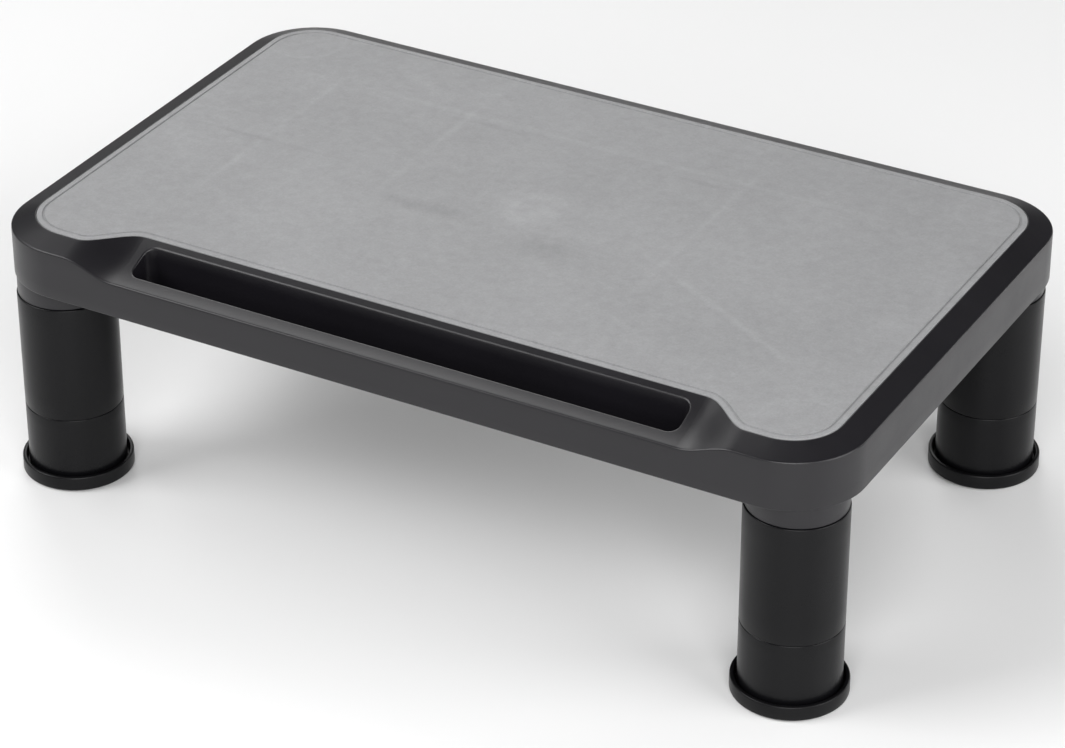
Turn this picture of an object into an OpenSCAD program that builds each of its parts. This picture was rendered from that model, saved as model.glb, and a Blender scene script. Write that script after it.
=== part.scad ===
// Monitor riser stand: a bevelled deck with a grey top panel and a pen trough,
// standing on four legs made of stacked, push-fit columns.
// Origin: middle of the footprint at floor level. +X is the long side, -Y is the
// side that faces the user, +Z is up.

/* [Deck] */
// Width of the deck, side to side
deck_w = 440; // [400:1:480]
// Depth of the deck, front to back
deck_d = 270.6; // [250:0.1:300]
// Radius of the deck's corners, seen from above
corner_r = 36; // [30:1:42]
// Height of the deck's side wall
wall_h = 24.5; // [20:0.5:32]
// Thickness of the moulded walls
wall_t = 2.8; // [2:0.1:4]
// Width of the sloping bevel between the side wall and the top panel
bevel_w = 12; // [8:0.5:16]
// Rise of the bevel, from the top of the side wall to the top panel
bevel_h = 4.2; // [3:0.1:6]
// Vertical thickness of the deck's top plate and bevel
plate_t = 4.2; // [3.5:0.1:5]

/* [Front dish] */
// Half the length of the flat part of the dish, where the panel's edge steps back
dish_half = 146.5; // [120:0.5:150]
// Length along the front over which the dish runs out at each end
dish_run = 27; // [20:1:30]
// How far the panel's front edge steps back behind the trough
dish_back = 17; // [10:0.5:20]
// How far the front wall's top edge drops in front of the trough
dish_drop = 6.6; // [3:0.1:8]
// Share of the dish's fall that is a straight slope, the rest curves
dish_straight = 0.42; // [0.2:0.01:1]

/* [Pen trough] */
// Length of the trough's mouth
trough_l = 284; // [240:1:286]
// Front to back width of the trough's mouth
trough_w = 17; // [12:0.5:18]
// Distance from the front wall's face to the trough's front edge
trough_in = 8.3; // [7.5:0.1:10]
// Height of the trough's floor above the bottom of the side wall
trough_floor = 3.2; // [2.5:0.1:8]
// Thickness of the trough's own walls
trough_t = 2.4; // [2:0.1:2.6]

/* [Top panel] */
// Thickness of the grey panel
panel_t = 1.6; // [1.2:0.1:2]
// Height of the panel above the upper edge of the bevel
panel_proud = 0.3; // [0:0.1:0.6]
// Gap between the panel's edge and its recess
panel_gap = 0.15; // [0.1:0.05:0.3]
// Distance from the panel's edge to the groove that runs round it
groove_in = 2.9; // [2:0.1:5]
// Width of the groove
groove_w = 1; // [0.6:0.1:1.5]
// Depth of the groove
groove_depth = 0.4; // [0.2:0.1:0.6]

/* [Legs] */
// Distance of the leg axes from the middle, side to side
leg_x = 192.4; // [170:0.1:193]
// Distance of the leg axes from the middle, front to back
leg_y = 108.3; // [90:0.1:109]
// Outer radius of the columns
column_r = 23.7; // [20:0.1:24.5]
// Radius of the spigots that plug the columns together
spigot_r = 21; // [18:0.1:21.5]
// Length of a spigot
spigot_h = 16; // [10:1:20]
// Wall thickness of a spigot
spigot_t = 2.5; // [2:0.1:4]
// Radial clearance of a spigot in its socket
fit_gap = 0.05; // [0.02:0.01:0.1]
// Length of the socket collar that shows below the deck
collar_h = 9.6; // [6:0.1:14]
// Length of the upper column
upper_h = 60.6; // [40:0.1:80]
// Height of the joint between the two columns above the floor
lower_top = 38.2; // [30:0.1:50]
// Radius of the socket collar
collar_r = 23.2; // [22.8:0.1:23.2]
// Chamfer at each joint between columns
seam_c = 0.6; // [0.3:0.1:1]

/* [Feet] */
// Outer radius of the foot cap
cap_r = 27; // [25:0.1:27]
// Height of the foot cap's rim above the floor
cap_h = 8; // [6:0.5:12]
// Thickness of the foot cap's rim
cap_t = 2.1; // [1.5:0.1:2.5]
// Thickness of the foot cap's floor
cap_floor = 3; // [2.5:0.1:4]
// Radius of the rubber sole
sole_r = 23.5; // [20:0.5:24]
// Thickness of the rubber sole
sole_t = 2; // [1.5:0.1:2.5]
// How far the sole stands below the foot cap
sole_proud = 0.8; // [0.4:0.1:1.2]

/* [Underside ribs] */
// Spacing of the ribs that run front to back
rib_pitch_x = 76; // [60:1:90]
// Spacing of the ribs that run side to side
rib_pitch_y = 66; // [50:1:80]
// Distance of the middle rib behind the deck's centre
rib_mid_y = 4; // [0:1:10]
// Thickness of a rib
rib_t = 2; // [1.5:0.1:3]
// Depth of the ribs below the top plate
rib_h = 5; // [3:1:16]

/* [Hidden] */
half_w = deck_w / 2;
half_d = deck_d / 2;
socket_z = lower_top + upper_h;
wall_z = socket_z + collar_h;
edge_z = wall_z + wall_h;
rim_z = edge_z + bevel_h;
top_z = rim_z + panel_proud;
recess_z = top_z - panel_t;
panel_x = half_w - bevel_w;
panel_y = half_d - bevel_w;
panel_r = corner_r - bevel_w;
arc_x = half_w - corner_r;
arc_y = half_d - corner_r;
trough_front = -half_d + trough_in;
// Corner radius of the trough, and the underside of the pocket that it forms
trough_r = 5;
pocket_z = wall_z + 1;
// Sockets are a little deeper than the spigots, and end at a ledge
socket_r = spigot_r + fit_gap;
socket_h = spigot_h + 1.5;
ledge_r = 18;
ledge_h = wall_h + 4;
// How far ribs and collars run up into the top plate
rib_bite = 2.8;
collar_top = wall_z + 39;
// Shoulder that closes a column, and the chamfer that leads its spigot in
shoulder_t = 3;
lead_in = 1;
// Lower edge of the foot cap, and the sole's clearance in it
cap_edge_h = 0.8;
cap_edge_c = 0.6;
sole_gap = 0.1;
cap_z = sole_proud;
column_z = cap_z + cap_floor;
// Number of steps across the bevel, along a run-out and round a corner
rings = 5;
dish_steps = 8;
arc_steps = 6;
// Overrun of a cut past the face that it opens
over = 1;
$fn = 64;

// Smooth step from 0 to 1.
function smooth(t) = let (u = max(0, min(1, t))) u * u * (3 - 2 * u);

// 0 along the dish, 1 past its ends.
function past_dish(x) = smooth((abs(x) - dish_half) / dish_run);

// Stations along the front, close together where the dish runs out.
function run_out(side) = [for (i = [0:dish_steps]) side * (dish_half + dish_run * i / dish_steps)];
function reversed(list) = [for (i = [len(list) - 1:-1:0]) list[i]];
front_x = concat(reversed(run_out(-1)), run_out(1));

// A corner arc about the shared corner centres, at radius r, starting at angle a.
function corner(sx, sy, r, a) = [
    for (i = [0:arc_steps])
        [sx * arc_x + r * cos(a + 90 * i / arc_steps), sy * arc_y + r * sin(a + 90 * i / arc_steps)]
];

// Anticlockwise outline with corners of radius r. Along the dish its front edge
// steps back by step, which is 0 on the deck's outline and dish_back on the panel's.
function outline(r, step) = concat(
    [for (x = front_x) [x, -arc_y - r + step * (1 - past_dish(x))]],
    corner(1, -1, r, -90),
    corner(1, 1, r, 0),
    corner(-1, 1, r, 90),
    corner(-1, -1, r, 180)
);

function unit(v) = v / norm(v);

// An outline moved inwards by d, along the normal at each point.
function inset(pts, d) = [
    for (i = [0:len(pts) - 1])
        let (
            before = pts[(i + len(pts) - 1) % len(pts)],
            after = pts[(i + 1) % len(pts)],
            t1 = norm(pts[i] - before) < 0.001 ? [0, 0] : unit(pts[i] - before),
            t2 = norm(after - pts[i]) < 0.001 ? [0, 0] : unit(after - pts[i]),
            t = unit(t1 + t2)
        )
        pts[i] + d * [-t[1], t[0]]
];

panel_outline = outline(panel_r, dish_back);
deck_outline = outline(corner_r, 0);

// Height of the deck's surface, s = 0 at the panel's edge and 1 at the side wall.
function surface_z(x, y, s) =
    let (
        w = y < 0 ? 1 - past_dish(x) : 0,
        a = 1 - (1 - dish_straight) * w,
        low = edge_z - dish_drop * w
    )
    low + (rim_z - low) * (a * (1 - s) + (1 - a) * (1 - s) * (1 - s));

// Closed solid under the deck's surface, with the panel's recess sunk in its top
// and a flat bottom at the foot of the side wall.
module shell() {
    n = len(panel_outline);
    points = concat(
        [for (p = panel_outline) [p[0], p[1], recess_z]],
        [for (k = [0:rings]) for (i = [0:n - 1])
            let (s = k / rings, a = panel_outline[i], p = a * (1 - s) + deck_outline[i] * s)
            [p[0], p[1], surface_z(a[0], a[1], s)]],
        [for (p = deck_outline) [p[0], p[1], wall_z]],
        [[0, arc_y, recess_z], [0, arc_y, wall_z]]
    );
    sides = [for (k = [0:rings + 1]) for (i = [0:n - 1]) for (half = [0, 1])
        let (a = k * n + i, b = k * n + (i + 1) % n, c = a + n, d = b + n)
        half == 0 ? [a, b, c] : [b, d, c]];
    bottom = (rings + 2) * n;
    top_cap = [for (i = [0:n - 1]) [(i + 1) % n, i, bottom + n]];
    bottom_cap = [for (i = [0:n - 1]) [bottom + i, bottom + (i + 1) % n, bottom + n + 1]];
    polyhedron(points, concat(sides, top_cap, bottom_cap), convexity = 6);
}

// Upright block with rounded corners of radius r, from x0, y0, z0 to x1, y1, z1.
module rounded_block(x0, x1, y0, y1, z0, z1, r) {
    translate([0, 0, z0]) linear_extrude(z1 - z0) union() {
        translate([x0 + r, y0]) square([x1 - x0 - 2 * r, y1 - y0]);
        translate([x0, y0 + r]) square([x1 - x0, y1 - y0 - 2 * r]);
        for (x = [x0 + r, x1 - r]) for (y = [y0 + r, y1 - r]) translate([x, y]) circle(r);
    }
}

// Hollow under the deck. It is lowest in front, under the dish, and highest
// under the panel, so the plate above it keeps an even thickness.
module hollow() {
    x = half_w - wall_t;
    y = half_d - wall_t;
    low = edge_z - dish_drop - plate_t;
    rounded_block(-x, x, -y, y, wall_z - over, low, corner_r - wall_t);
    rounded_block(-x, x, -panel_y + dish_back, y, low - over, edge_z - plate_t, corner_r - wall_t);
    rounded_block(-panel_x, panel_x, -panel_y + dish_back, panel_y,
        low - over, rim_z - plate_t, panel_r);
}

// The trough's opening, or with grow the outside of its walls.
module trough_block(grow, z0, z1) {
    x = trough_l / 2 + grow;
    rounded_block(-x, x, trough_front - grow, trough_front + trough_w + grow, z0, z1,
        trough_r + grow);
}

module at_leg(side_x, side_y) {
    translate([side_x * leg_x, side_y * leg_y, 0]) children();
}

module at_every_leg() {
    for (sx = [-1, 1]) for (sy = [-1, 1]) at_leg(sx, sy) children();
}

// Ribs under the top plate, clear of the trough in front.
module ribs() {
    z0 = rim_z - plate_t - rib_h;
    h = rib_h + rib_bite;
    back_y = half_d - wall_t / 2;
    front_y = trough_front + trough_w + trough_t / 2;
    for (i = [-2:2]) {
        translate([i * rib_pitch_x - rib_t / 2, front_y, z0])
            cube([rib_t, back_y - front_y, h]);
    }
    for (j = [-1:1]) {
        translate([-half_w + wall_t / 2, rib_mid_y + j * rib_pitch_y - rib_t / 2, z0])
            cube([deck_w - wall_t, rib_t, h]);
    }
}

module deck() {
    color([0.13, 0.13, 0.14]) difference() {
        union() {
            difference() {
                shell();
                difference() {
                    hollow();
                    trough_block(trough_t, pocket_z, edge_z);
                    at_every_leg() translate([0, 0, wall_z - over])
                        cylinder(h = collar_top - wall_z + over, r = collar_r);
                    ribs();
                }
            }
            at_every_leg() {
                translate([0, 0, socket_z + seam_c]) cylinder(h = collar_h, r = collar_r);
                translate([0, 0, socket_z]) cylinder(h = seam_c, r1 = collar_r - seam_c, r2 = collar_r);
            }
        }
        trough_block(0, wall_z + trough_floor, top_z + over);
        at_every_leg() {
            translate([0, 0, socket_z - over]) cylinder(h = socket_h + over, r = socket_r);
            translate([0, 0, socket_z]) cylinder(h = ledge_h, r = ledge_r);
        }
    }
}

module top_panel() {
    color([0.62, 0.63, 0.63]) difference() {
        translate([0, 0, recess_z]) linear_extrude(panel_t) polygon(inset(panel_outline, panel_gap));
        translate([0, 0, top_z - groove_depth]) linear_extrude(panel_t) difference() {
            polygon(inset(panel_outline, groove_in));
            polygon(inset(panel_outline, groove_in + groove_w));
        }
    }
}

// Tube with a chamfered outer edge at both ends, closed at the top by a
// shoulder that carries the spigot for the piece above.
module column(z0, z1) {
    difference() {
        union() {
            translate([0, 0, z0]) cylinder(h = seam_c, r1 = column_r - seam_c, r2 = column_r);
            translate([0, 0, z0 + seam_c]) cylinder(h = z1 - z0 - 2 * seam_c, r = column_r);
            translate([0, 0, z1 - seam_c]) cylinder(h = seam_c, r1 = column_r, r2 = column_r - seam_c);
            translate([0, 0, z1]) cylinder(h = spigot_h - lead_in, r = spigot_r);
            translate([0, 0, z1 + spigot_h - lead_in])
                cylinder(h = lead_in, r1 = spigot_r, r2 = spigot_r - lead_in);
        }
        translate([0, 0, z0 - over]) cylinder(h = z1 - z0 - shoulder_t + over, r = socket_r);
        translate([0, 0, z0]) cylinder(h = z1 - z0 + spigot_h + over, r = spigot_r - spigot_t);
    }
}

module upper_column(side_x, side_y) {
    color([0.12, 0.12, 0.13]) at_leg(side_x, side_y) column(lower_top, socket_z);
}

module lower_column(side_x, side_y) {
    color([0.12, 0.12, 0.13]) at_leg(side_x, side_y) column(column_z, lower_top);
}

// Cup round the foot of the lower column, with a plug up into its bore and a
// recess for the sole underneath.
module foot_cap(side_x, side_y) {
    color([0.08, 0.08, 0.09]) at_leg(side_x, side_y) difference() {
        union() {
            translate([0, 0, cap_z]) cylinder(h = cap_edge_h, r1 = cap_r - cap_edge_c, r2 = cap_r);
            translate([0, 0, cap_z + cap_edge_h]) cylinder(h = cap_h - cap_z - cap_edge_h, r = cap_r);
        }
        translate([0, 0, column_z]) difference() {
            cylinder(h = cap_h, r = cap_r - cap_t);
            cylinder(h = spigot_h, r = spigot_r);
        }
        translate([0, 0, -over]) cylinder(h = sole_t + over, r = sole_r + sole_gap);
    }
    color([0.08, 0.08, 0.09]) at_leg(side_x, side_y) translate([0, 0, column_z]) difference() {
        cylinder(h = spigot_h, r = spigot_r);
        translate([0, 0, -over]) cylinder(h = spigot_h + 2 * over, r = spigot_r - spigot_t);
    }
}

module foot_sole(side_x, side_y) {
    color([0.2, 0.2, 0.2]) at_leg(side_x, side_y) cylinder(h = sole_t, r = sole_r);
}

deck();
top_panel();
upper_column(-1, -1);  // upper_column_front_left
upper_column(1, -1);  // upper_column_front_right
upper_column(-1, 1);  // upper_column_back_left
upper_column(1, 1);  // upper_column_back_right
lower_column(-1, -1);  // lower_column_front_left
lower_column(1, -1);  // lower_column_front_right
lower_column(-1, 1);  // lower_column_back_left
lower_column(1, 1);  // lower_column_back_right
foot_cap(-1, -1);  // foot_cap_front_left
foot_cap(1, -1);  // foot_cap_front_right
foot_cap(-1, 1);  // foot_cap_back_left
foot_cap(1, 1);  // foot_cap_back_right
foot_sole(-1, -1);  // foot_sole_front_left
foot_sole(1, -1);  // foot_sole_front_right
foot_sole(-1, 1);  // foot_sole_back_left
foot_sole(1, 1);  // foot_sole_back_right
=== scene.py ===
"""Monitor riser stand: moulded shells, a textured grey panel and stacked legs around the CAD frame.

Everything is in metres in the frame's own coordinates: +X to the user's right, -Y towards the
user, +Z up. Lengths that belong to the looks alone are written in millimetres times MM.
"""
import math

import bpy
import numpy as np
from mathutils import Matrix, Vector


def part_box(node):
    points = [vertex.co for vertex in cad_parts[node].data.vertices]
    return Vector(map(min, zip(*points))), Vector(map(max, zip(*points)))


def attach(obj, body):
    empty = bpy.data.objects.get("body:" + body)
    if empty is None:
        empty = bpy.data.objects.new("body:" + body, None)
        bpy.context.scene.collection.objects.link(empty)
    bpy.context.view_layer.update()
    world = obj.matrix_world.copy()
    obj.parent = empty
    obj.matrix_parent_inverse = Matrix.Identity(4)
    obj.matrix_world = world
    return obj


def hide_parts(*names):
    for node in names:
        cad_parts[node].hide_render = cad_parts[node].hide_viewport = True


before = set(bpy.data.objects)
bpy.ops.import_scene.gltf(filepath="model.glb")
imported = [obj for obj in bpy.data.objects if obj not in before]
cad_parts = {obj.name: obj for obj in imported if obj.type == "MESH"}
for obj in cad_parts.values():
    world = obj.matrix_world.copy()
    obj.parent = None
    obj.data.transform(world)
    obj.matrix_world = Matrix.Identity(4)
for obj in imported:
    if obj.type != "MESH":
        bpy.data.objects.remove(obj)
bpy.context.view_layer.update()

MM = 0.001

# ---------------------------------------------------------------- camera

# Place and aim in metres; lens in millimetres, for a sensor 36 mm wide.
CAMERA_PLACE = (0.7640, -1.3640, 0.9832)
CAMERA_AIM = (0.0022, -0.0028, 0.0522)
CAMERA_LENS = 127.7


def look_at(obj, target):
    """Turn a camera or light so that it faces the target."""
    direction = Vector(target) - obj.location
    obj.rotation_euler = direction.to_track_quat("-Z", "Y").to_euler()


def make_camera():
    """Camera that sees the stand as the photo does, from above and in front of its right end."""
    data = bpy.data.cameras.new("camera")
    data.sensor_width = 36
    data.lens = CAMERA_LENS
    data.clip_end = 50
    camera = bpy.data.objects.new("camera", data)
    camera.location = CAMERA_PLACE
    look_at(camera, CAMERA_AIM)
    bpy.context.scene.collection.objects.link(camera)
    bpy.context.scene.camera = camera


# ---------------------------------------------------------------- sizes taken from the frame

LEGS = ("front_left", "front_right", "back_left", "back_right")
deck_low, deck_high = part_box("deck")
panel_low, panel_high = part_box("top_panel")

HALF_W = deck_high.x
HALF_D = deck_high.y
RIM_Z = deck_high.z
SOCKET_Z = deck_low.z
RECESS_Z = panel_low.z
TOP_Z = panel_high.z

# The deck's outline, bevel and walls.
CORNER_R = 36 * MM
BEVEL_W = 12 * MM
BEVEL_H = 4.2 * MM
WALL_H = 24.5 * MM
WALL_T = 2.8 * MM
PLATE_T = 4.2 * MM
RIB_H = 5 * MM
EDGE_Z = RIM_Z - BEVEL_H
WALL_Z = EDGE_Z - WALL_H
ARC_X = HALF_W - CORNER_R
ARC_Y = HALF_D - CORNER_R

# The dish in front: half its length, the run-out past each end, how far it reaches back beyond the
# bevel, how far its front edge drops, and its slope at that edge as a share of its mean slope.
DISH_HALF = 146.5 * MM
DISH_RUN = 27 * MM
DISH_BACK = 17 * MM
DISH_DROP = 6.6 * MM
DISH_STRAIGHT = 0.42

# The pen trough in the dish: its opening, its own walls and the pocket that they form below.
TROUGH_HALF = 142 * MM
TROUGH_W = 17 * MM
TROUGH_FRONT = -HALF_D + 8.3 * MM
TROUGH_R = 5 * MM
TROUGH_T = 2.4 * MM
TROUGH_FLOOR = WALL_Z + 3.2 * MM
POCKET_Z = WALL_Z + 1 * MM

# Radii and heights that the deck, the columns and the foot caps share.
COLLAR_R = 23.2 * MM
SOCKET_R = 21.05 * MM
SPIGOT_R = 21 * MM
BORE_R = 18.5 * MM
SPIGOT_H = 16 * MM

# Fillets of the deck: outer edge, panel's recess, trough's mouth, and bottom of the wall.
EDGE_FILLET = 1.1 * MM
RIM_FILLET = 0.35 * MM
MOUTH_FILLET = 0.8 * MM
WALL_FILLET = 0.8 * MM

# Faces round a turned piece, down a column of the deck's surface, along the trough's straight run,
# and from each end of that run to the end of the dish.
ROUND_STEPS = 96
SURFACE_STEPS = 10
RUN_STEPS = 40
SIDE_STEPS = 4
# Distance of the row that keeps a fillet's shading from spreading over the surface beside it.
SUPPORT = 0.3 * MM
# Places of the dish's rings, as shares of the way from its edge in to the trough's mouth.
DISH_RINGS = (0.06, 0.25, 0.45, 0.65, 0.85, 0.95, 1)

# ---------------------------------------------------------------- mesh building


class Builder:
    """Collects vertices and faces, ring by ring."""

    def __init__(self):
        self.verts = []
        self.faces = []

    def ring(self, points):
        """Add points and give back their vertex numbers."""
        first = len(self.verts)
        self.verts.extend(tuple(float(c) for c in p) for p in points)
        return list(range(first, len(self.verts)))

    def bridge(self, a, b, closed=True, flip=False):
        """Quads between two rings of the same length."""
        count = len(a) if closed else len(a) - 1
        for i in range(count):
            j = (i + 1) % len(a)
            quad = (a[i], a[j], b[j], b[i])
            self.faces.append(quad[::-1] if flip else quad)

    def cap(self, ring, flip=False):
        """One face over a whole ring."""
        self.faces.append(tuple(ring[::-1] if flip else ring))

    def loft(self, rings, flip=False):
        """Bridge each ring to the next and close both ends."""
        ids = [self.ring(points) for points in rings]
        for a, b in zip(ids, ids[1:]):
            self.bridge(a, b, flip=flip)
        self.cap(ids[0], flip=not flip)
        self.cap(ids[-1], flip=flip)

    def build(self, name, sharp_angle=40):
        """Smooth-shaded object whose edges are sharp where faces meet at more than the angle."""
        mesh = bpy.data.meshes.new(name)
        mesh.from_pydata(self.verts, [], self.faces)
        mesh.validate()
        mesh.shade_smooth()
        mesh.set_sharp_from_angle(angle=math.radians(sharp_angle))
        obj = bpy.data.objects.new(name, mesh)
        bpy.context.scene.collection.objects.link(obj)
        return obj


def circle(centre, radius, z, steps=ROUND_STEPS):
    """Points round a level circle."""
    angles = np.linspace(0, 2 * math.pi, steps, endpoint=False)
    return [(centre[0] + radius * math.cos(a), centre[1] + radius * math.sin(a), z) for a in angles]


def plan_centre(low, high):
    """Middle of a box as seen from above."""
    return (low.x + high.x) / 2, (low.y + high.y) / 2


def revolve(builder, profile, centre):
    """Closed ring-shaped solid: the closed (radius, height) profile turned about a vertical axis.

    The profile runs anticlockwise as seen with radius to the right and height up."""
    rings = [builder.ring(circle(centre, r, z)) for r, z in profile]
    for a, b in zip(rings, rings[1:] + rings[:1]):
        builder.bridge(a, b)


def fillet(centre, radius, start, end, steps=4):
    """Points on an arc about centre, from start to end degrees."""
    angles = np.radians(np.linspace(start, end, steps + 1))
    return [(centre[0] + radius * math.cos(a), centre[1] + radius * math.sin(a)) for a in angles]


# ---------------------------------------------------------------- the deck's surface


def smooth(t):
    """0 to 1 with a level start and end."""
    t = np.clip(t, 0, 1)
    return t * t * (3 - 2 * t)


def past_dish(x):
    """0 along the dish in front, 1 past its ends."""
    return smooth((abs(x) - DISH_HALF) / DISH_RUN)


def front_column(x):
    """Wall point, outward normal and bevel width for a column on the front edge."""
    return (x, -HALF_D), (0, -1), BEVEL_W + DISH_BACK * (1 - past_dish(x))


def corner_columns(sx, sy, start, steps=16):
    """Columns round one corner, from start degrees through a quarter turn."""
    out = []
    for a in np.radians(np.linspace(start, start + 90, steps + 1)):
        n = (math.cos(a), math.sin(a))
        out.append(((sx * ARC_X + CORNER_R * n[0], sy * ARC_Y + CORNER_R * n[1]), n, BEVEL_W))
    return out


def side_columns(a, b, normal, steps=12):
    """Columns strictly between two ends of a straight side."""
    out = []
    for t in np.linspace(0, 1, steps + 1)[1:-1]:
        out.append(((a[0] + (b[0] - a[0]) * t, a[1] + (b[1] - a[1]) * t), normal, BEVEL_W))
    return out


def strip_columns():
    """Columns from the right end of the dish round the back to its left end."""
    run = np.linspace(DISH_HALF, DISH_HALF + DISH_RUN, 19)
    columns = [front_column(x) for x in run]
    columns += corner_columns(1, -1, -90)
    columns += side_columns((HALF_W, -ARC_Y), (HALF_W, ARC_Y), (1, 0))
    columns += corner_columns(1, 1, 0)
    columns += side_columns((ARC_X, HALF_D), (-ARC_X, HALF_D), (0, 1), 18)
    columns += corner_columns(-1, 1, 90)
    columns += side_columns((-HALF_W, ARC_Y), (-HALF_W, -ARC_Y), (-1, 0))
    columns += corner_columns(-1, -1, 180)
    columns += [front_column(-x) for x in run[::-1]]
    return columns


def dish_weight(x, normal):
    """1 where the column crosses the dish, 0 away from it."""
    return 1 - past_dish(x) if normal == (0, -1) else 0


def fall(u, width, weight):
    """Height of the deck's surface at distance u in from the wall."""
    low = EDGE_Z - DISH_DROP * weight
    straight = 1 - (1 - DISH_STRAIGHT) * weight
    t = u / width
    return low + (RIM_Z - low) * (straight * t + (1 - straight) * t * t)


def at(column, u, z):
    """Point at distance u in from a column's wall."""
    (x, y), n, _ = column
    return (x - n[0] * u, y - n[1] * u, z)


def outer_profile(column):
    """(u, z) rows of the outer skin: rim rows, surface rows, and edge and wall rows."""
    (x, _), normal, width = column
    weight = dish_weight(x, normal)
    low = fall(0, width, weight)
    tiny = 1e-5
    slope = (fall(tiny, width, weight) - low) / tiny
    root = math.sqrt(1 + slope * slope)
    centre = (EDGE_FILLET, low + slope * EDGE_FILLET - EDGE_FILLET * root)
    start = math.degrees(math.atan2(1 / root, -slope / root))
    edge = fillet(centre, EDGE_FILLET, start, 180, 6)
    rim_u = width - RIM_FILLET
    rim_z = fall(rim_u, width, weight)
    rim = [(width, RECESS_Z), (width, rim_z - RIM_FILLET * 0.9)]
    rim += [(width - RIM_FILLET * 0.3, rim_z - RIM_FILLET * 0.25)]
    spread = np.linspace(rim_u - SUPPORT, edge[0][0] + SUPPORT, SURFACE_STEPS - 1)
    surface = [(u, fall(u, width, weight)) for u in (rim_u, *spread)] + edge[:1]
    wall = edge[1:]
    wall += [(0, z) for z in np.linspace(centre[1], WALL_Z + WALL_FILLET + 0.1 * MM, 5)[1:]]
    wall += fillet((WALL_FILLET, WALL_Z + WALL_FILLET), WALL_FILLET, 180, 270, 3)[1:]
    return rim, surface, wall


def inner_profile(column):
    """(u, z) rows of the inner skin, from the bottom edge up to the ceiling."""
    (x, _), normal, width = column
    weight = dish_weight(x, normal)
    top = fall(WALL_T, width, weight) - PLATE_T
    wall = [(WALL_T - 0.5 * MM, WALL_Z), (WALL_T, WALL_Z + 0.5 * MM)]
    wall += [(WALL_T + 0.2 * MM, top - 1.5 * MM)]
    spread = np.linspace(WALL_T + 1.2 * MM, width, SURFACE_STEPS + 1)
    surface = [(u, fall(u, width, weight) - PLATE_T) for u in spread]
    return wall, surface


def mouth_stations():
    """x of the columns across the dish: the ends, level with the trough's corners, then its run."""
    straight = TROUGH_HALF - TROUGH_R
    side = np.linspace(straight, DISH_HALF, SIDE_STEPS + 1)[1:]
    middle = np.linspace(-straight, straight, RUN_STEPS + 1)
    return np.concatenate([-side[::-1], middle, side])


def mouth_loop(offset):
    """Trough mouth moved out by offset, anticlockwise from the middle run's left end in front.

    It has as many points on each stretch as the edge of the dish patch around it."""
    straight = TROUGH_HALF - TROUGH_R
    r = TROUGH_R + offset
    front = TROUGH_FRONT + TROUGH_R
    back = TROUGH_FRONT + TROUGH_W - TROUGH_R
    corner_steps = 7
    end_steps = 2 * SIDE_STEPS + SURFACE_STEPS - 2 * corner_steps
    run = np.linspace(-straight, straight, RUN_STEPS + 1)
    right = fillet((straight, front), r, -90, 0, corner_steps)
    right += [(straight + r, y) for y in np.linspace(front, back, end_steps + 1)[1:-1]]
    right += fillet((straight, back), r, 0, 90, corner_steps)
    loop = [(x, front - r) for x in run[:-1]]
    loop += right
    loop += [(x, back + r) for x in run[::-1][1:-1]]
    loop += [(-x, y) for x, y in right[:0:-1]]
    return loop


def dish_height(y):
    """Height of the outer surface inside the dish patch."""
    return fall(y + HALF_D, BEVEL_W + DISH_BACK, 1)


def patch_edge(row_front, sides_right, row_back, sides_left):
    """Edge of the dish patch, anticlockwise, started at the middle run's left end in front."""
    loop = row_front + sides_right[1:] + row_back[1:] + sides_left[1:-1]
    return loop[SIDE_STEPS:] + loop[:SIDE_STEPS]


def fill_patch(builder, edge, drop, offset, radius, levels, flip):
    """Fill the dish round the trough's mouth, then run its wall down to a flat floor.

    edge holds vertex numbers, levels the heights of the wall's rows with their extra offsets."""
    outline = [builder.verts[i] for i in edge]
    inner = mouth_loop(offset + radius)
    rings = [edge]
    for t in DISH_RINGS:
        points = []
        for (x0, y0, _), (x1, y1) in zip(outline, inner):
            x = x0 + (x1 - x0) * t
            y = y0 + (y1 - y0) * t
            points.append((x, y, dish_height(y) - drop))
        rings.append(builder.ring(points))
    if radius:
        for a in np.radians(np.linspace(0, 90, 5)[1:]):
            out = radius * (1 - math.sin(a))
            down = radius * (1 - math.cos(a))
            rings.append(builder.ring([
                (x, y, dish_height(y) - drop - down) for x, y in mouth_loop(offset + out)
            ]))
    for z, grow in levels:
        rings.append(builder.ring([(x, y, z) for x, y in mouth_loop(offset + grow)]))
    for a, b in zip(rings, rings[1:]):
        builder.bridge(a, b, flip=flip)
    builder.cap(rings[-1], flip=flip)


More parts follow.
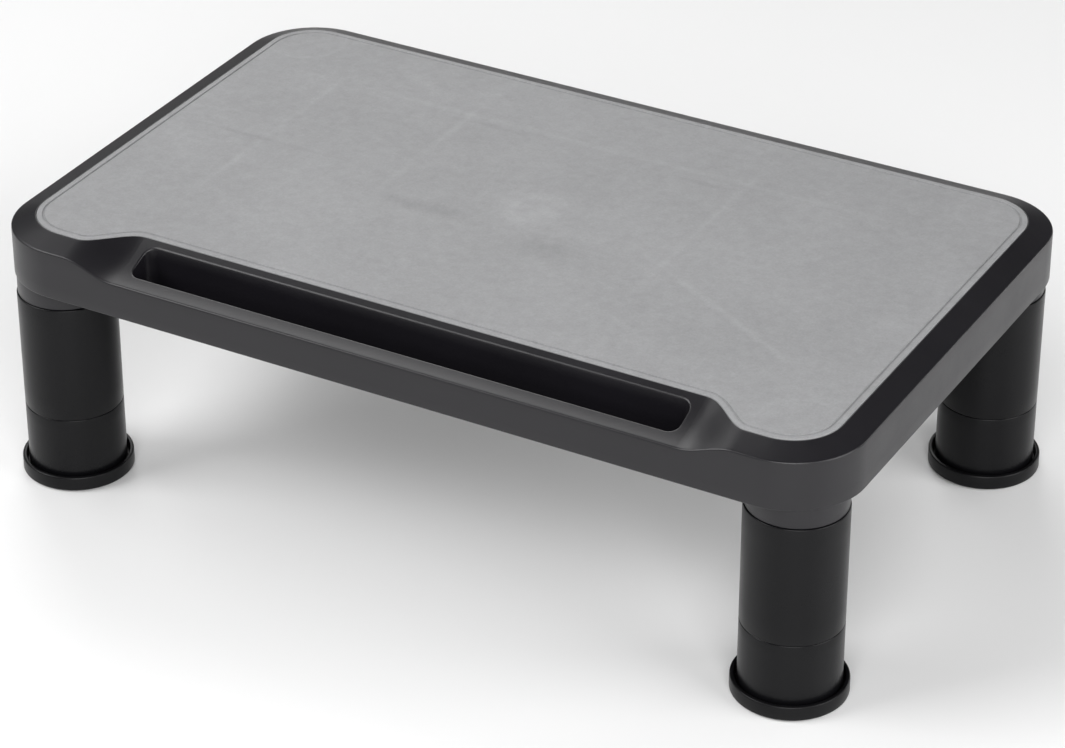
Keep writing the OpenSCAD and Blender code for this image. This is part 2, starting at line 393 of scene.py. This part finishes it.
def deck_skins(builder):
    """The deck's moulding as one closed skin, outside and inside, joined along its bottom edge."""
    strip = strip_columns()
    across = [front_column(x) for x in mouth_stations()]
    rows = []
    for column in strip:
        rim, surface, wall = outer_profile(column)
        low_wall, under = inner_profile(column)
        points = [at(column, u, z) for u, z in rim + surface + wall + low_wall + under]
        rows.append(builder.ring(points))
    for a, b in zip(rows, rows[1:]):
        builder.bridge(b, a, closed=False)
    rim, surface, wall = outer_profile(strip[0])
    low_wall, under = inner_profile(strip[0])
    first = len(rim)
    last = first + len(surface) - 1
    under_first = last + 1 + len(wall) + len(low_wall)
    # The columns across the dish carry all the rows but those of the two surfaces.
    middle = []
    for column in across[1:-1]:
        c_rim, c_surface, c_wall = outer_profile(column)
        c_low, c_under = inner_profile(column)
        upper = builder.ring([at(column, u, z) for u, z in c_rim + c_surface[:1]])
        lower = builder.ring([
            at(column, u, z) for u, z in c_surface[-1:] + c_wall + c_low + c_under[:1]
        ])
        ceiling = builder.ring([at(column, *c_under[-1])])
        middle.append((upper, lower, ceiling))
    left, right = rows[-1], rows[0]
    left_parts = (left[:first + 1], left[last:under_first + 1], left[-1:])
    right_parts = (right[:first + 1], right[last:under_first + 1], right[-1:])
    spans = [left_parts] + middle + [right_parts]
    for a, b in zip(spans, spans[1:]):
        builder.bridge(b[0], a[0], closed=False)
        builder.bridge(b[1], a[1], closed=False)
    outer_edge = patch_edge(
        [s[1][0] for s in spans],
        [right[i] for i in range(last, first - 1, -1)],
        [s[0][-1] for s in spans[::-1]],
        [left[i] for i in range(first, last + 1)],
    )
    inner_edge = patch_edge(
        [s[1][-1] for s in spans],
        [right[i] for i in range(under_first, len(right))],
        [s[2][0] for s in spans[::-1]],
        [left[i] for i in range(len(left) - 1, under_first - 1, -1)],
    )
    trough_levels = [(TROUGH_FLOOR + 8 * MM, 0), (TROUGH_FLOOR + 1.2 * MM, 0),
                     (TROUGH_FLOOR + 0.4 * MM, -0.4 * MM), (TROUGH_FLOOR, -1.2 * MM)]
    fill_patch(builder, outer_edge, 0, 0, MOUTH_FILLET, trough_levels, flip=False)
    pocket_levels = [(POCKET_Z + 6 * MM, 0), (POCKET_Z + 0.8 * MM, 0), (POCKET_Z, -0.8 * MM)]
    fill_patch(builder, inner_edge, PLATE_T, TROUGH_T, 0, pocket_levels, flip=True)
    recess = [r[0] for r in rows] + [m[0][0] for m in middle]
    builder.cap(recess)
    ceiling = [r[-1] for r in rows] + [m[2][0] for m in middle]
    builder.cap(ceiling, flip=True)


def rib(builder, start, end, thickness, z_low, z_high):
    """A drafted rib with a rounded lower edge, between two points in plan."""
    along = Vector((end[0] - start[0], end[1] - start[1])).normalized()
    side = Vector((-along.y, along.x))
    half = thickness / 2
    section = [(-half, z_high), (-half * 0.8, z_low + 0.5 * MM), (-half * 0.4, z_low)]
    section += [(-s, z) for s, z in section[::-1]]
    rings = [[(p[0] + side.x * s, p[1] + side.y * s, z) for s, z in section] for p in (start, end)]
    builder.loft(rings, flip=True)


def deck_ribs(builder):
    """Stiffening ribs under the top plate, with a lower stretch under the bevel at each end."""
    pitch_x = 76 * MM
    pitch_y = 66 * MM
    middle_y = 4 * MM
    thickness = 2 * MM
    overlap = 1 * MM
    low = RIM_Z - PLATE_T - RIB_H
    high = RIM_Z - PLATE_T + 1.2 * MM
    edge_high = EDGE_Z - 1 * MM
    front = TROUGH_FRONT + TROUGH_W + TROUGH_T / 2
    back = HALF_D - WALL_T / 2
    end = HALF_W - WALL_T / 2
    for i in range(-2, 3):
        x = i * pitch_x
        rib(builder, (x, front), (x, back - BEVEL_W), thickness, low, high)
        rib(builder, (x, back - BEVEL_W - overlap), (x, back), thickness, low, edge_high)
    for j in (-1, 0, 1):
        y = middle_y + j * pitch_y
        rib(builder, (-end + BEVEL_W, y), (end - BEVEL_W, y), thickness, low, high)
        for s in (-1, 1):
            rib(builder, (s * (end - BEVEL_W - overlap), y), (s * end, y), thickness, low, edge_high)


def plate_height(x, y):
    """Height of the ceiling's skin over a point near a corner of the deck."""
    dx = max(abs(x) - ARC_X, 0)
    dy = max(abs(y) - ARC_Y, 0)
    u = min(max(CORNER_R - math.hypot(dx, dy), 0), BEVEL_W)
    return EDGE_Z + BEVEL_H * u / BEVEL_W - PLATE_T


def deck_sockets(builder):
    """Socket collars: tubes that hang from the ceiling and show below the deck."""
    soft = 0.6 * MM
    bite = 0.8 * MM
    profile = [(SOCKET_R, SOCKET_Z + soft)]
    profile += fillet((SOCKET_R + soft, SOCKET_Z + soft), soft, 180, 270, 3)[1:]
    profile += fillet((COLLAR_R - soft, SOCKET_Z + soft), soft, 270, 360, 3)
    profile += [(COLLAR_R, WALL_Z), (COLLAR_R, WALL_Z + 8 * MM)]
    for leg in LEGS:
        centre = plan_centre(*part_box("upper_column_" + leg))
        rings = [circle(centre, r, z) for r, z in profile]
        for r in (COLLAR_R, SOCKET_R):
            rings.append([(x, y, plate_height(x, y) + bite) for x, y, _ in circle(centre, r, 0)])
        ids = [builder.ring(points) for points in rings]
        for a, b in zip(ids, ids[1:] + ids[:1]):
            builder.bridge(a, b)


def make_deck():
    """The black moulding: skins, ribs and sockets in one piece."""
    builder = Builder()
    deck_skins(builder)
    deck_ribs(builder)
    deck_sockets(builder)
    deck = builder.build("deck_moulding", 50)
    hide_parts("deck")
    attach(deck, "root")
    deck.data.materials.append(
        moulded_plastic("deck_plastic_look", DECK_BLACK, 0.35, 1.46))


# ---------------------------------------------------------------- grey panel


def panel_outline():
    """The panel's recess seen from above, anticlockwise."""
    columns = [front_column(x) for x in np.linspace(-DISH_HALF, DISH_HALF, RUN_STEPS + 1)[1:-1]]
    columns += strip_columns()
    return np.array([at(c, c[2], 0)[:2] for c in columns])


def inset(points, distance):
    """Outline moved inwards along its normals."""
    before = points - np.roll(points, 1, axis=0)
    after = np.roll(points, -1, axis=0) - points
    before /= np.linalg.norm(before, axis=1)[:, None]
    after /= np.linalg.norm(after, axis=1)[:, None]
    tangent = before + after
    tangent /= np.linalg.norm(tangent, axis=1)[:, None]
    return points + distance * np.stack([-tangent[:, 1], tangent[:, 0]], axis=1)


def make_panel():
    """Grey panel with a rounded edge and a groove that follows its outline."""
    gap = 0.15 * MM
    soft = 0.5 * MM
    groove = 3.4 * MM
    depth = 0.6 * MM
    flat = 8 * MM
    profile = [(gap, RECESS_Z), (gap, TOP_Z - soft)]
    profile += [(gap + soft * (1 - math.cos(a)), TOP_Z - soft * (1 - math.sin(a)))
                for a in np.radians((25, 50, 75, 90))]
    section = [(0.75 * MM, 0), (0.6 * MM, 0.1 * MM), (0.4 * MM, depth)]
    profile += [(groove - beside, TOP_Z - down) for beside, down in section]
    profile += [(groove + beside, TOP_Z - down) for beside, down in section[::-1]]
    profile += [(flat, TOP_Z)]
    outline = panel_outline()
    builder = Builder()
    builder.loft([[(x, y, z) for x, y in inset(outline, d)] for d, z in profile])
    panel = builder.build("top_panel_sheet", 30)
    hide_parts("top_panel")
    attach(panel, "root")
    panel.data.materials.append(panel_plastic())


# ---------------------------------------------------------------- legs


def column_profile(foot, shoulder, top, radius):
    """Section of a column: rounded ends, a socket below, a shoulder, and a spigot up to top."""
    soft = 0.6 * MM
    lead = 0.5 * MM
    lip = 0.4 * MM
    ledge = shoulder - 3 * MM
    profile = [(SOCKET_R, ledge), (SOCKET_R, foot + lead), (SOCKET_R + lead, foot)]
    profile += fillet((radius - soft, foot + soft), soft, -90, 0, 4)
    profile += [(radius, z) for z in np.linspace(foot + soft, shoulder - soft, 7)[1:-1]]
    profile += fillet((radius - soft, shoulder - soft), soft, 0, 90, 4)
    profile += [(SPIGOT_R + lip, shoulder), (SPIGOT_R, shoulder + lip), (SPIGOT_R, top - 1.0 * MM)]
    profile += [(SPIGOT_R - lip, top - 0.2 * MM), (SPIGOT_R - 1.0 * MM, top)]
    profile += [(BORE_R + lip, top), (BORE_R, top - lip), (BORE_R, ledge)]
    return profile


def make_columns(look):
    """Upper and lower column of every leg."""
    for kind in ("upper", "lower"):
        for leg in LEGS:
            node = f"{kind}_column_{leg}"
            low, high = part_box(node)
            radius = (high.x - low.x) / 2
            builder = Builder()
            profile = column_profile(low.z, high.z - SPIGOT_H, high.z, radius)
            revolve(builder, profile, plan_centre(low, high))
            column = builder.build(node + "_moulding", 35)
            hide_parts(node)
            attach(column, f"{kind}_leg_{leg}")
            column.data.materials.append(look)


def cap_profile(low, high, radius):
    """Section of a foot cap: outer wall, rim, plug and the sole's recess.

    It leaves a pinhole in the middle. The rim and the recess are at heights above the floor."""
    foot_soft = 0.7 * MM
    rim_soft = 0.8 * MM
    inner_soft = 0.5 * MM
    plug_soft = 1.0 * MM
    rim_z = 8 * MM
    floor_z = low + 3 * MM
    recess_z = 2 * MM
    recess_r = 23.6 * MM
    centre_r = BORE_R * 0.02
    inner_r = radius - 2.1 * MM
    profile = [(centre_r, floor_z), (centre_r, recess_z)]
    profile += [(recess_r, recess_z), (recess_r, low + 0.2 * MM), (recess_r + 0.2 * MM, low)]
    profile += fillet((radius - foot_soft, low + foot_soft), foot_soft, -90, 0, 3)
    profile += [(radius - 0.05 * MM, floor_z)]
    profile += fillet((radius - 0.05 * MM - rim_soft, rim_z - rim_soft), rim_soft, 0, 90, 3)
    profile += fillet((inner_r + inner_soft, rim_z - inner_soft), inner_soft, 90, 180, 3)
    profile += [(inner_r, floor_z + 0.3 * MM), (inner_r - 0.3 * MM, floor_z)]
    profile += [(SPIGOT_R, floor_z), (SPIGOT_R, high - plug_soft), (SPIGOT_R - plug_soft, high)]
    profile += [(BORE_R, high), (BORE_R, floor_z + 0.01 * MM)]
    return profile


def make_cap(leg, centre, look):
    """Foot cap of one leg."""
    node = "foot_cap_" + leg
    low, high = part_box(node)
    builder = Builder()
    revolve(builder, cap_profile(low.z, high.z, (high.x - low.x) / 2), centre)
    cap = builder.build(node + "_moulding", 35)
    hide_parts(node)
    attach(cap, "lower_leg_" + leg)
    cap.data.materials.append(look)


def sole_profile(low, high, radius):
    """Section of a sole: ring treads below, a soft edge and a flat top."""
    centre_r = 1 * MM
    soft = 0.4 * MM
    tread = 0.5 * MM
    profile = [(centre_r, low)]
    for r in np.arange(5, 21, 4) * MM:
        profile += [(r, low), (r + 0.3 * MM, low + tread)]
        profile += [(r + 1.2 * MM, low + tread), (r + 1.5 * MM, low)]
    profile += fillet((radius - soft, low + soft), soft, -90, 0, 3)
    profile += [(radius, high), (centre_r, high)]
    return profile


def make_sole(leg, centre, look):
    """Rubber sole under one leg's foot cap."""
    node = "foot_sole_" + leg
    low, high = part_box(node)
    profile = sole_profile(low.z, high.z, (high.x - low.x) / 2)
    builder = Builder()
    builder.loft([circle(centre, r, z, 72) for r, z in profile])
    sole = builder.build(node + "_rubber", 35)
    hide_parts(node)
    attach(sole, "lower_leg_" + leg)
    sole.data.materials.append(look)


def make_feet(cap_look, sole_look):
    """Foot cap and rubber sole of every leg, on the cap's middle."""
    for leg in LEGS:
        centre = plan_centre(*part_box("foot_cap_" + leg))
        make_cap(leg, centre, cap_look)
        make_sole(leg, centre, sole_look)


# ---------------------------------------------------------------- materials


class Graph:
    """A material's node tree with short calls for what the looks below need."""

    def __init__(self, name):
        self.material = bpy.data.materials.new(name)
        self.material.use_nodes = True
        self.tree = self.material.node_tree
        self.shader = self.tree.nodes["Principled BSDF"]
        self.place = self.tree.nodes.new("ShaderNodeTexCoord").outputs["Object"]

    def link(self, source, target):
        self.tree.links.new(source, target)

    def math(self, operation, a, b=0.0):
        node = self.tree.nodes.new("ShaderNodeMath")
        node.operation = operation
        for socket, value in zip(node.inputs, (a, b)):
            if isinstance(value, (int, float)):
                socket.default_value = value
            else:
                self.link(value, socket)
        return node.outputs[0]

    def vector(self, operation, a, b):
        """Vector Math node, with the output that its operation gives."""
        node = self.tree.nodes.new("ShaderNodeVectorMath")
        node.operation = operation
        for socket, value in zip(node.inputs, (a, b)):
            if isinstance(value, bpy.types.NodeSocket):
                self.link(value, socket)
            else:
                socket.default_value = value
        number = operation in ("DOT_PRODUCT", "LENGTH")
        return node.outputs["Value" if number else "Vector"]

    def noise(self, size, detail=2.0, roughness=0.5, stretch=(1, 1, 1)):
        """Noise from 0 to 1 whose features are about size metres across."""
        mapping = self.tree.nodes.new("ShaderNodeMapping")
        mapping.inputs["Scale"].default_value = stretch
        self.link(self.place, mapping.inputs["Vector"])
        node = self.tree.nodes.new("ShaderNodeTexNoise")
        node.inputs["Scale"].default_value = 1 / size
        node.inputs["Detail"].default_value = detail
        node.inputs["Roughness"].default_value = roughness
        self.link(mapping.outputs["Vector"], node.inputs["Vector"])
        return node.outputs["Fac"]

    def remap(self, value, low, high, to_low, to_high):
        """Value moved from the range low to high to the range to_low to to_high, and held inside it."""
        node = self.tree.nodes.new("ShaderNodeMapRange")
        node.clamp = True
        node.inputs["From Min"].default_value = low
        node.inputs["From Max"].default_value = high
        node.inputs["To Min"].default_value = to_low
        node.inputs["To Max"].default_value = to_high
        self.link(value, node.inputs["Value"])
        return node.outputs["Result"]

    def tint(self, factor, dark, light):
        """Colour between dark and light by factor, through the Mix node's colour sockets."""
        node = self.tree.nodes.new("ShaderNodeMix")
        node.data_type = "RGBA"
        node.inputs[6].default_value = (*dark, 1)
        node.inputs[7].default_value = (*light, 1)
        self.link(factor, node.inputs[0])
        return node.outputs[2]

    def bump(self, height, distance):
        """Relief added over any that the shader already has."""
        node = self.tree.nodes.new("ShaderNodeBump")
        node.inputs["Distance"].default_value = distance
        node.inputs["Strength"].default_value = 1.0
        self.link(height, node.inputs["Height"])
        previous = self.shader.inputs["Normal"]
        if previous.is_linked:
            self.link(previous.links[0].from_socket, node.inputs["Normal"])
        self.link(node.outputs["Normal"], previous)


# Base colours, linear.
DECK_BLACK = (0.0062, 0.0056, 0.0074)
COLUMN_BLACK = (0.0030, 0.0030, 0.0036)
CAP_BLACK = (0.0028, 0.0028, 0.0033)
PANEL_GREY = (0.237, 0.238, 0.243)
RUBBER_DARK = (0.016, 0.016, 0.016)
RUBBER_LIGHT = (0.034, 0.033, 0.033)
FLOOR_DARK = (0.80, 0.80, 0.80)
FLOOR_LIGHT = (0.83, 0.83, 0.83)


def scaled(colour, factor):
    return tuple(c * factor for c in colour)


def moulded_plastic(name, colour, roughness, ior):
    """Satin black plastic: spark-eroded grain, slow gloss changes and faint flow marks."""
    g = Graph(name)
    cloud = g.noise(60 * MM, 3)
    grain = g.noise(0.45 * MM, 2, 0.6)
    flow = g.noise(25 * MM, 4, 0.6, (0.25, 1, 1))
    mix = g.math("ADD", g.math("MULTIPLY", cloud, 0.6), g.math("MULTIPLY", grain, 0.4))
    g.link(g.tint(g.remap(mix, 0.35, 0.65, 0, 1), scaled(colour, 0.86), scaled(colour, 1.14)),
           g.shader.inputs["Base Color"])
    gloss = g.math("ADD", g.math("MULTIPLY", flow, 0.5), g.math("MULTIPLY", grain, 0.5))
    g.link(g.remap(gloss, 0.3, 0.7, roughness - 0.06, roughness + 0.06), g.shader.inputs["Roughness"])
    g.bump(grain, 0.02 * MM)
    g.bump(g.noise(9 * MM, 2), 0.03 * MM)
    g.shader.inputs["IOR"].default_value = ior
    return g.material


# Faint pale streaks on the panel over sink marks, mostly over the ribs: painted sheen in the colour,
# with a faint real dent in the bump. Each from one point to another in millimetres, with its width.
SINK_SHEEN_STREAKS = (
    ((61, -6), (192, -78), 3.0),
    ((-143, 110), (-89, 80), 5.0),
    ((70, -62), (114, -84), 3.0),
    ((-76, -30), (-76, 122), 3.5),
    ((-152, -90), (-152, 122), 3.0),
    ((76, -70), (76, 110), 3.0),
    ((-80, 76), (10, 76), 4.0),
    ((-200, 76), (200, 76), 3.0),
)
# Faint dark marks painted on the panel: the thin ones along the ribs are the sink marks' sheen painted
# as shade, and the two broad ones only darken the grey. Middle in millimetres, and reach along X and Y.
PAINTED_DARK_MARKS = (
    ((-46, -18), (38, 8)),
    ((32, -25), (36, 14)),
    ((-150, 4), (48, 2.4)),
    ((-56, 70), (26, 2.2)),
    ((57, 67), (16, 2.6)),
)


def panel_plastic():
    """Grey panel: fine mottled grain, faint sink marks over the ribs and bosses with their sheen
    painted into the colour as pale and dark lines, and a pale gate mark.
    """
    g = Graph("panel_look")

    def streak(start, end, width):
        """1 on a line between two points, fading over width beside it and towards its ends."""
        start, end = Vector((*start, 0)) * MM, Vector((*end, 0)) * MM
        middle = (start + end) / 2
        along = (end - start).normalized()
        half = (end - start).length / 2
        from_middle = g.vector("SUBTRACT", g.place, middle)
        run = g.math("ABSOLUTE", g.vector("DOT_PRODUCT", from_middle, along))
        beside = g.math("ABSOLUTE", g.vector("DOT_PRODUCT", from_middle, (-along.y, along.x, 0)))
        ends = g.remap(run, half * 0.5, half, 1, 0)
        return g.math("MULTIPLY", ends, g.remap(beside, 0, width * MM, 1, 0))

    def spot(middle, reach, inner, outer):
        """1 inside an ellipse round middle, fading from inner to outer times its reach."""
        offset = g.vector("SUBTRACT", g.place, (middle[0] * MM, middle[1] * MM, TOP_Z))
        share = g.vector("MULTIPLY", offset, (1 / (reach[0] * MM), 1 / (reach[1] * MM), 0))
        return g.remap(g.vector("LENGTH", share, (0, 0, 0)), inner, outer, 1, 0)

    def total(parts):
        out = parts[0]
        for part in parts[1:]:
            out = g.math("ADD", out, part)
        return out

    patchy = g.remap(g.noise(38 * MM, 3), 0.38, 0.6, 0.35, 1)
    # Pale streaks: the sink marks' sheen painted pale into the colour; the same mask also dents the
    # bump.
    sink_relief_and_sheen = g.math("MULTIPLY", total([streak(*s) for s in SINK_SHEEN_STREAKS]), patchy)
    # Dark marks: painted shade along the ribs' sink marks, plus two broad darker patches.
    dark = g.math("MULTIPLY", total([spot(m, r, 0.2, 1) for m, r in PAINTED_DARK_MARKS]), patchy)
    gate = spot((-2, 5), (1, 1), 11, 22)
    gate = g.math("MULTIPLY", gate, g.remap(g.noise(7 * MM, 4), 0.3, 0.65, 0.3, 1))
    # Rings over the sockets' bosses: the sheen of their sink marks is painted pale into the colour,
    # with no relief.
    rings = []
    for leg in LEGS:
        x, y = plan_centre(*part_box("upper_column_" + leg))
        disc = spot((x / MM, y / MM), (21, 21), 0.9, 1.06)
        rings.append(g.math("SUBTRACT", disc, g.math("MULTIPLY", disc, disc)))
    painted_boss_sheen = g.math("MULTIPLY", total(rings), patchy)

    grain = g.noise(1.0 * MM, 3, 0.65)
    cloud = g.noise(55 * MM, 4, 0.55)
    swirl = g.noise(5 * MM, 3, 0.6)
    tone = total([g.math("MULTIPLY", noise, share)
                  for noise, share in ((grain, 0.46), (swirl, 0.30), (cloud, 0.24))])
    # The sink marks' painted sheen and painted shade go into the tone here, along with the gate mark.
    for mark, strength in ((sink_relief_and_sheen, 0.10), (gate, 0.17), (painted_boss_sheen, 0.22), (dark, -0.14)):
        tone = g.math("ADD", tone, g.math("MULTIPLY", mark, strength))
    g.link(g.tint(g.remap(tone, 0.3, 0.7, 0, 1), scaled(PANEL_GREY, 0.78), scaled(PANEL_GREY, 1.22)),
           g.shader.inputs["Base Color"])
    g.link(g.remap(grain, 0.3, 0.7, 0.46, 0.62), g.shader.inputs["Roughness"])
    g.bump(g.noise(0.7 * MM, 2, 0.6), 0.05 * MM)
    g.bump(sink_relief_and_sheen, 0.03 * MM)
    g.bump(g.noise(30 * MM, 2), 0.06 * MM)
    return g.material


def rubber():
    """Matt black rubber with a fine pitted grain."""
    g = Graph("sole_look")
    pits = g.noise(0.6 * MM, 3, 0.7)
    g.link(g.tint(pits, RUBBER_DARK, RUBBER_LIGHT), g.shader.inputs["Base Color"])
    g.link(g.remap(pits, 0.3, 0.7, 0.7, 0.9), g.shader.inputs["Roughness"])
    g.bump(pits, 0.05 * MM)
    return g.material


# ---------------------------------------------------------------- studio


def make_floor():
    """Large pale floor with a very slight mottling."""
    builder = Builder()
    rings = [builder.ring(circle((0, 0), r, 0, 64)) for r in (0.3, 0.8, 2, 5, 12)]
    for a, b in zip(rings, rings[1:]):
        builder.bridge(b, a)
    builder.cap(rings[0])
    floor = builder.build("floor")
    g = Graph("floor_look")
    cloud = g.noise(0.5, 2)
    g.link(g.tint(cloud, FLOOR_DARK, FLOOR_LIGHT), g.shader.inputs["Base Color"])
    g.link(g.remap(cloud, 0, 1, 0.5, 0.6), g.shader.inputs["Roughness"])
    floor.data.materials.append(g.material)


# Point that the softboxes face and are set out from.
STUDIO_AIM = (0, 0, 0.1)
# Softboxes of the studio: direction from the object, distance and side in metres, power in watts.
SOFTBOXES = {
    "front_left": ((-0.60, -0.50, 0.60), 2.4, 1.3, 36),
    "front": ((0.45, -0.80, 0.50), 2.0, 1.3, 32),
    "right_low": ((1.00, 0.00, 0.42), 1.7, 1.2, 19),
    "back_left": ((-0.42, 0.55, 0.60), 2.4, 1.3, 19),
    "back_right_low": ((0.50, 0.80, 0.10), 2.4, 1.0, 11),
    "left_high": ((-0.80, 0.00, 0.70), 2.4, 1.0, 7),
}


def softbox(name, way, distance, side, power):
    """Square lamp that lights and reflects, but isn't seen by the camera itself."""
    data = bpy.data.lights.new(name, "AREA")
    data.shape = "RECTANGLE"
    data.size = side
    data.size_y = side
    data.energy = power
    light = bpy.data.objects.new(name, data)
    light.visible_camera = False
    light.location = Vector(way).normalized() * distance + Vector(STUDIO_AIM)
    look_at(light, STUDIO_AIM)
    bpy.context.scene.collection.objects.link(light)


def make_lights():
    """Softboxes all round at middle and low height, with a faint surround."""
    for name, values in SOFTBOXES.items():
        softbox(name, *values)
    world = bpy.data.worlds.new("surround")
    world.use_nodes = True
    background = world.node_tree.nodes["Background"]
    background.inputs["Color"].default_value = (1, 1, 1, 1)
    background.inputs["Strength"].default_value = 0.09
    bpy.context.scene.world = world
    bpy.context.scene.view_settings.view_transform = "Standard"


# ---------------------------------------------------------------- assembly

make_camera()
make_deck()
make_panel()
make_columns(moulded_plastic("column_plastic_look", COLUMN_BLACK, 0.31, 1.28))
make_feet(moulded_plastic("cap_plastic_look", CAP_BLACK, 0.36, 1.28), rubber())
make_floor()
make_lights()
